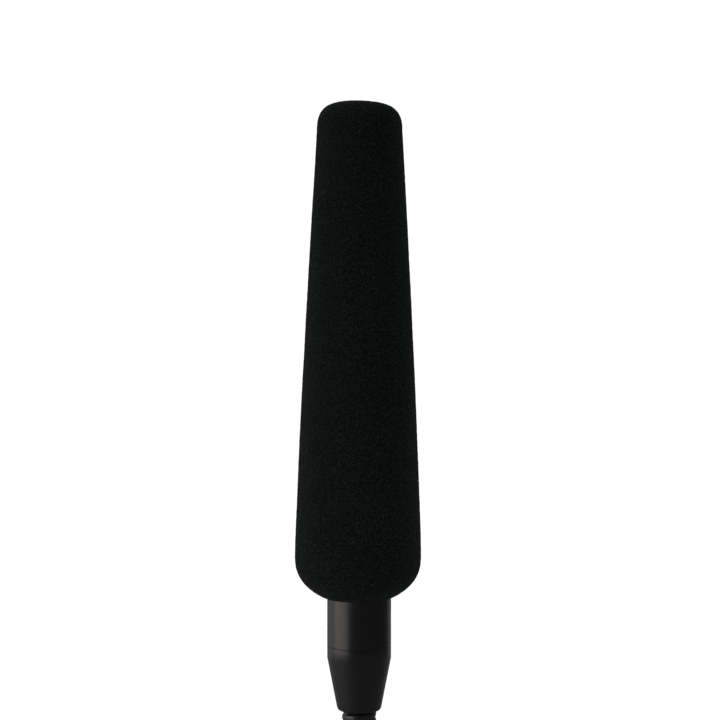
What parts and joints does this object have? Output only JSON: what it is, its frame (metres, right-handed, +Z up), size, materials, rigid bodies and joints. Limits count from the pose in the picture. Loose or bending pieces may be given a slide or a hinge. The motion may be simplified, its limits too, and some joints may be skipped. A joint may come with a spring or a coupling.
{
  "type": "gooseneck podium microphone",
  "caption": "Slim podium microphone with a tapered foam windscreen, a bendable gooseneck and a three-contact plug at its foot.",
  "frame": {"origin": "centre of the plug's open end", "axes": "+Z up the straight neck towards the windscreen's top; +Y towards the plug's key slot"},
  "size_m": [0.0315, 0.0314, 0.3415],
  "materials": {
    "black_aluminium": "satin",
    "plug_insulator": "matte",
    "contact_metal": "polished",
    "spring_metal": "satin",
    "black_screw": "satin",
    "lead_sleeve": "satin",
    "carrier_plastic": "matte",
    "board_laminate": "satin",
    "can_sleeve": "satin",
    "chip_case": "matte",
    "header_plastic": "satin",
    "seal_rubber": "matte",
    "cable_jacket": "satin",
    "neck_coil": "satin",
    "capsule_brass": "satin",
    "backplate_brass": "polished",
    "insulator_plastic": "satin",
    "spacer_film": "satin",
    "diaphragm_film": "polished",
    "retainer_plastic": "matte",
    "acoustic_cloth": "matte",
    "nose_mesh": "satin",
    "foam": "matte"
  },
  "bodies": {
    "base": {"barrel_tube": "black_aluminium", "xlr_insert": "plug_insulator", "contact_pin_1": "contact_metal", "contact_pin_2": "contact_metal", "contact_pin_3": "contact_metal", "ground_tab": "spring_metal", "insert_screw": "black_screw", "contact_leads": "lead_sleeve", "board_carrier": "carrier_plastic", "preamp_board": "board_laminate", "board_capacitors": "can_sleeve", "board_transistors": "chip_case", "board_resistors": "chip_case", "cable_header": "header_plastic", "barrel_seal": "seal_rubber", "barrel_cap": "black_aluminium", "neck_foot": "neck_coil", "signal_cable": "cable_jacket"},
    "neck_1": {"neck_link_1": "neck_coil"},
    "neck_2": {"neck_link_2": "neck_coil"},
    "neck_3": {"neck_link_3": "neck_coil"},
    "neck_4": {"neck_link_4": "neck_coil"},
    "neck_5": {"neck_link_5": "neck_coil"},
    "neck_6": {"neck_link_6": "neck_coil"},
    "neck_7": {"neck_link_7": "neck_coil"},
    "neck_8": {"neck_link_8": "neck_coil"},
    "neck_9": {"neck_link_9": "neck_coil"},
    "neck_10": {"neck_link_10": "neck_coil"},
    "neck_11": {"neck_link_11": "neck_coil"},
    "head": {"neck_tip": "neck_coil", "head_ferrule": "black_aluminium", "grub_screw": "black_screw", "head_tube": "black_aluminium", "capsule_board": "board_laminate", "capsule_transistor": "chip_case", "contact_spring": "spring_metal", "isolator_ring_lower": "seal_rubber", "isolator_ring_upper": "seal_rubber", "capsule_cup": "capsule_brass", "capsule_base": "capsule_brass", "backplate_insulator": "insulator_plastic", "backplate": "backplate_brass", "spacer_ring": "spacer_film", "diaphragm": "diaphragm_film", "diaphragm_ring": "capsule_brass", "capsule_retainer": "retainer_plastic", "interference_tube": "black_aluminium", "acoustic_cloth": "acoustic_cloth", "nose_ring": "black_aluminium", "nose_mesh": "nose_mesh"},
    "windscreen": {"foam_windscreen": "foam"}
  },
  "joints": [
    {"name": "bend_x_1", "type": "hinge", "parent": "base", "child": "neck_1", "pos_m": [0, 0, 0.077], "axis": [1, 0, 0], "range_deg": [-15, 15], "deforming": ["signal_cable"]},
    {"name": "bend_y_1", "type": "hinge", "parent": "neck_1", "child": "neck_2", "pos_m": [0, 0, 0.087], "axis": [0, 1, 0], "range_deg": [-15, 15], "deforming": ["signal_cable"]},
    {"name": "bend_x_2", "type": "hinge", "parent": "neck_2", "child": "neck_3", "pos_m": [0, 0, 0.097], "axis": [1, 0, 0], "range_deg": [-15, 15], "deforming": ["signal_cable"]},
    {"name": "bend_y_2", "type": "hinge", "parent": "neck_3", "child": "neck_4", "pos_m": [0, 0, 0.107], "axis": [0, 1, 0], "range_deg": [-15, 15], "deforming": ["signal_cable"]},
    {"name": "bend_x_3", "type": "hinge", "parent": "neck_4", "child": "neck_5", "pos_m": [0, 0, 0.117], "axis": [1, 0, 0], "range_deg": [-15, 15], "deforming": ["signal_cable"]},
    {"name": "bend_y_3", "type": "hinge", "parent": "neck_5", "child": "neck_6", "pos_m": [0, 0, 0.127], "axis": [0, 1, 0], "range_deg": [-15, 15], "deforming": ["signal_cable"]},
    {"name": "bend_x_4", "type": "hinge", "parent": "neck_6", "child": "neck_7", "pos_m": [0, 0, 0.137], "axis": [1, 0, 0], "range_deg": [-15, 15], "deforming": ["signal_cable"]},
    {"name": "bend_y_4", "type": "hinge", "parent": "neck_7", "child": "neck_8", "pos_m": [0, 0, 0.147], "axis": [0, 1, 0], "range_deg": [-15, 15], "deforming": ["signal_cable"]},
    {"name": "bend_x_5", "type": "hinge", "parent": "neck_8", "child": "neck_9", "pos_m": [0, 0, 0.157], "axis": [1, 0, 0], "range_deg": [-15, 15], "deforming": ["signal_cable"]},
    {"name": "bend_y_5", "type": "hinge", "parent": "neck_9", "child": "neck_10", "pos_m": [0, 0, 0.167], "axis": [0, 1, 0], "range_deg": [-15, 15], "deforming": ["signal_cable"]},
    {"name": "bend_x_6", "type": "hinge", "parent": "neck_10", "child": "neck_11", "pos_m": [0, 0, 0.177], "axis": [1, 0, 0], "range_deg": [-15, 15], "deforming": ["signal_cable"]},
    {"name": "bend_y_6", "type": "hinge", "parent": "neck_11", "child": "head", "pos_m": [0, 0, 0.187], "axis": [0, 1, 0], "range_deg": [-15, 15], "deforming": ["signal_cable"]},
    {"name": "windscreen_pull", "type": "slide", "parent": "head", "child": "windscreen", "axis": [0, 0, 1], "range_m": [0, 0.125]}
  ],
  "couplings": [
    {"joint": "bend_x_2", "follows": "bend_x_1", "ratio": 1},
    {"joint": "bend_y_2", "follows": "bend_y_1", "ratio": 1},
    {"joint": "bend_x_3", "follows": "bend_x_1", "ratio": 1},
    {"joint": "bend_y_3", "follows": "bend_y_1", "ratio": 1},
    {"joint": "bend_x_4", "follows": "bend_x_1", "ratio": 1},
    {"joint": "bend_y_4", "follows": "bend_y_1", "ratio": 1},
    {"joint": "bend_x_5", "follows": "bend_x_1", "ratio": 1},
    {"joint": "bend_y_5", "follows": "bend_y_1", "ratio": 1},
    {"joint": "bend_x_6", "follows": "bend_x_1", "ratio": 1},
    {"joint": "bend_y_6", "follows": "bend_y_1", "ratio": 1}
  ]
}
